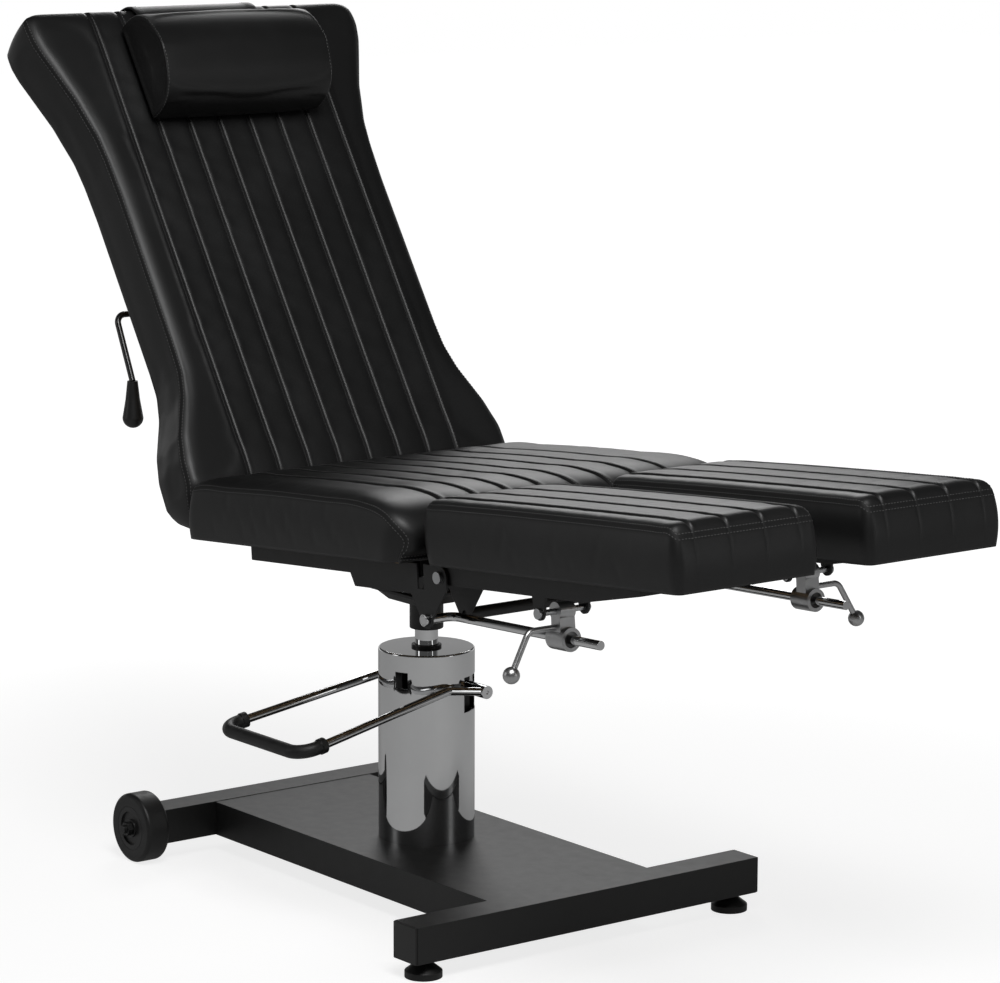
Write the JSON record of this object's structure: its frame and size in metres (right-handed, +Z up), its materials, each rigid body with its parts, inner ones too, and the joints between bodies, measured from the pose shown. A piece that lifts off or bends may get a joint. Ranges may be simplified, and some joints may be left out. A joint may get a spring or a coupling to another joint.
{
  "type": "tattoo chair",
  "caption": "Hydraulic tattoo chair with a channelled reclining backrest, head bolster, channelled seat, two separate drop-down footrests, foot pedal and a low frame on feet and wheels.",
  "frame": {"origin": "on the floor under the middle of the chair's overall box, the feet and wheels standing at z = 0", "axes": "+X along the chair towards the footrests, +Y to the sitter's left, +Z up"},
  "size_m": [1.505, 0.5978, 1.2105],
  "materials": {
    "leatherette": "black synthetic leather over foam, soft sheen",
    "plywood": "raw plywood under the upholstery",
    "black_frame": "satin black powder coat",
    "chrome": "polished chrome",
    "zinc": "bright zinc plate",
    "cast_satin": "satin cast metal",
    "pump_iron": "painted cast iron",
    "spring_black": "black lacquered tube",
    "black_rubber": "matt black rubber",
    "black_plastic": "moulded black plastic"
  },
  "bodies": {
    "base": {"base_tray": "black_frame", "front_rail": "black_frame", "rear_rail": "black_frame", "rail_caps": "black_plastic", "wheel_axles": "black_frame", "pump_cover": "chrome", "column_seal": "black_rubber", "pump_cylinder": "pump_iron", "flange_bolts": "zinc", "pedal_bearings": "pump_iron"},
    "pump_plunger": {"pump_plunger": "zinc"},
    "pedal": {"pedal_axle": "chrome", "pedal_loop": "chrome", "pedal_grip": "black_rubber"},
    "lift": {"piston": "chrome"},
    "seat": {"seat_socket": "black_frame", "mount_plate": "black_frame", "seat_side_tubes": "black_frame", "seat_cross_tubes": "black_frame", "hinge_arms": "black_frame", "hinge_plates": "black_frame", "plate_cross_bar": "black_frame", "footrest_hinge_bolts": "zinc", "seat_board": "plywood", "seat_cushion": "leatherette"},
    "backrest": {"back_frame": "black_frame", "hinge_brackets": "black_frame", "hinge_shaft": "zinc", "back_brackets": "black_frame", "back_board": "plywood", "back_cushion": "leatherette"},
    "release_lever": {"release_lever": "spring_black", "lever_grip": "black_plastic"},
    "spring_cylinder": {"spring_cylinder": "spring_black"},
    "spring_rod": {"spring_rod": "chrome"},
    "head_pillow": {"head_pillow": "leatherette", "pillow_band": "leatherette"},
    "wheel_right": {"wheel_tyre_right": "black_rubber", "wheel_hub_right": "black_plastic"},
    "foot_right": {"foot_pad_right": "black_rubber", "foot_stud_right": "zinc"},
    "footrest_right": {"leg_cushion_right": "leatherette", "leg_board_right": "plywood", "leg_channel_right": "black_frame", "leg_pin_right": "zinc"},
    "rod_right": {"leg_rod_right": "chrome"},
    "clamp_right": {"leg_clamp_right": "cast_satin"},
    "clamp_handle_right": {"clamp_handle_right": "cast_satin"},
    "wheel_left": {"wheel_tyre_left": "black_rubber", "wheel_hub_left": "black_plastic"},
    "foot_left": {"foot_pad_left": "black_rubber", "foot_stud_left": "zinc"},
    "footrest_left": {"leg_cushion_left": "leatherette", "leg_board_left": "plywood", "leg_channel_left": "black_frame", "leg_pin_left": "zinc"},
    "rod_left": {"leg_rod_left": "chrome"},
    "clamp_left": {"leg_clamp_left": "cast_satin"},
    "clamp_handle_left": {"clamp_handle_left": "cast_satin"}
  },
  "joints": [
    {"name": "column_lift", "type": "slide", "parent": "base", "child": "lift", "axis": [0, 0, 1], "range_m": [0, 0.15]},
    {"name": "seat_swivel", "type": "hinge", "parent": "lift", "child": "seat", "pos_m": [-0.09578, 0, 0.372], "axis": [0, 0, 1], "continuous": true},
    {"name": "pedal_press", "type": "hinge", "parent": "base", "child": "pedal", "pos_m": [-0.09578, 0.038, 0.29], "axis": [1, 0, 0], "range_deg": [0, 22], "stiffness_Nm_per_rad": 12, "springref_deg": -28.65},
    {"name": "plunger_stroke", "type": "slide", "parent": "base", "child": "pump_plunger", "axis": [0, 0, 1], "range_m": [0, 0.009]},
    {"name": "backrest_recline", "type": "hinge", "parent": "seat", "child": "backrest", "pos_m": [-0.31775, 0, 0.48197], "axis": [0, -1, 0], "range_deg": [0, 61.5]},
    {"name": "spring_swing", "type": "hinge", "parent": "seat", "child": "spring_cylinder", "pos_m": [-0.33558, 0, 0.45307], "axis": [0, -1, 0], "range_deg": [0, 62.5]},
    {"name": "spring_travel", "type": "slide", "parent": "spring_cylinder", "child": "spring_rod", "axis": [-0.549, 0, 0.8358], "range_m": [-0.036, 0]},
    {"name": "lever_pull", "type": "hinge", "parent": "backrest", "child": "release_lever", "pos_m": [-0.54315, 0, 0.78009], "axis": [0, 1, 0], "range_deg": [0, 18], "stiffness_Nm_per_rad": 2, "springref_deg": -22.92},
    {"name": "pillow_lift", "type": "slide", "parent": "backrest", "child": "head_pillow", "axis": [-0.5475, 0, 0.8368], "range_m": [0, 0.08]},
    {"name": "wheel_spin_right", "type": "hinge", "parent": "base", "child": "wheel_right", "pos_m": [-0.45078, -0.2495, 0.05], "axis": [0, 1, 0], "continuous": true},
    {"name": "foot_turn_right", "type": "hinge", "parent": "base", "child": "foot_right", "pos_m": [0.25282, -0.262, 0.025], "axis": [0, 0, 1], "continuous": true},
    {"name": "footrest_drop_right", "type": "hinge", "parent": "seat", "child": "footrest_right", "pos_m": [0.26518, -0.204, 0.52998], "axis": [0, 1, 0], "range_deg": [0, 45]},
    {"name": "rod_swing_right", "type": "hinge", "parent": "seat", "child": "rod_right", "pos_m": [0.23824, -0.204, 0.46999], "axis": [0, 1, 0], "range_deg": [0, 43]},
    {"name": "clamp_tilt_right", "type": "hinge", "parent": "footrest_right", "child": "clamp_right", "pos_m": [0.46717, -0.204, 0.51605], "axis": [0, 1, 0], "range_deg": [-3, 0]},
    {"name": "handle_turn_right", "type": "hinge", "parent": "clamp_right", "child": "clamp_handle_right", "pos_m": [0.46754, -0.204, 0.49552], "axis": [0, 1, 0], "range_deg": [0, 90]},
    {"name": "wheel_spin_left", "type": "hinge", "parent": "base", "child": "wheel_left", "pos_m": [-0.45078, 0.2495, 0.05], "axis": [0, 1, 0], "continuous": true},
    {"name": "foot_turn_left", "type": "hinge", "parent": "base", "child": "foot_left", "pos_m": [0.25282, 0.262, 0.025], "axis": [0, 0, 1], "continuous": true},
    {"name": "footrest_drop_left", "type": "hinge", "parent": "seat", "child": "footrest_left", "pos_m": [0.26518, 0.204, 0.52998], "axis": [0, 1, 0], "range_deg": [0, 45]},
    {"name": "rod_swing_left", "type": "hinge", "parent": "seat", "child": "rod_left", "pos_m": [0.23824, 0.204, 0.46999], "axis": [0, 1, 0], "range_deg": [0, 43]},
    {"name": "clamp_tilt_left", "type": "hinge", "parent": "footrest_left", "child": "clamp_left", "pos_m": [0.46717, 0.204, 0.51605], "axis": [0, 1, 0], "range_deg": [-3, 0]},
    {"name": "handle_turn_left", "type": "hinge", "parent": "clamp_left", "child": "clamp_handle_left", "pos_m": [0.46754, 0.204, 0.49552], "axis": [0, 1, 0], "range_deg": [0, 90]}
  ],
  "couplings": [
    {"joint": "plunger_stroke", "follows": "pedal_press", "m_per_rad": 0.018},
    {"joint": "spring_swing", "follows": "backrest_recline", "ratio": 1},
    {"joint": "spring_travel", "follows": "backrest_recline", "m_per_rad": -0.032},
    {"joint": "rod_swing_right", "follows": "footrest_drop_right", "ratio": 0.952},
    {"joint": "clamp_tilt_right", "follows": "footrest_drop_right", "ratio": -0.048},
    {"joint": "rod_swing_left", "follows": "footrest_drop_left", "ratio": 0.952},
    {"joint": "clamp_tilt_left", "follows": "footrest_drop_left", "ratio": -0.048}
  ]
}
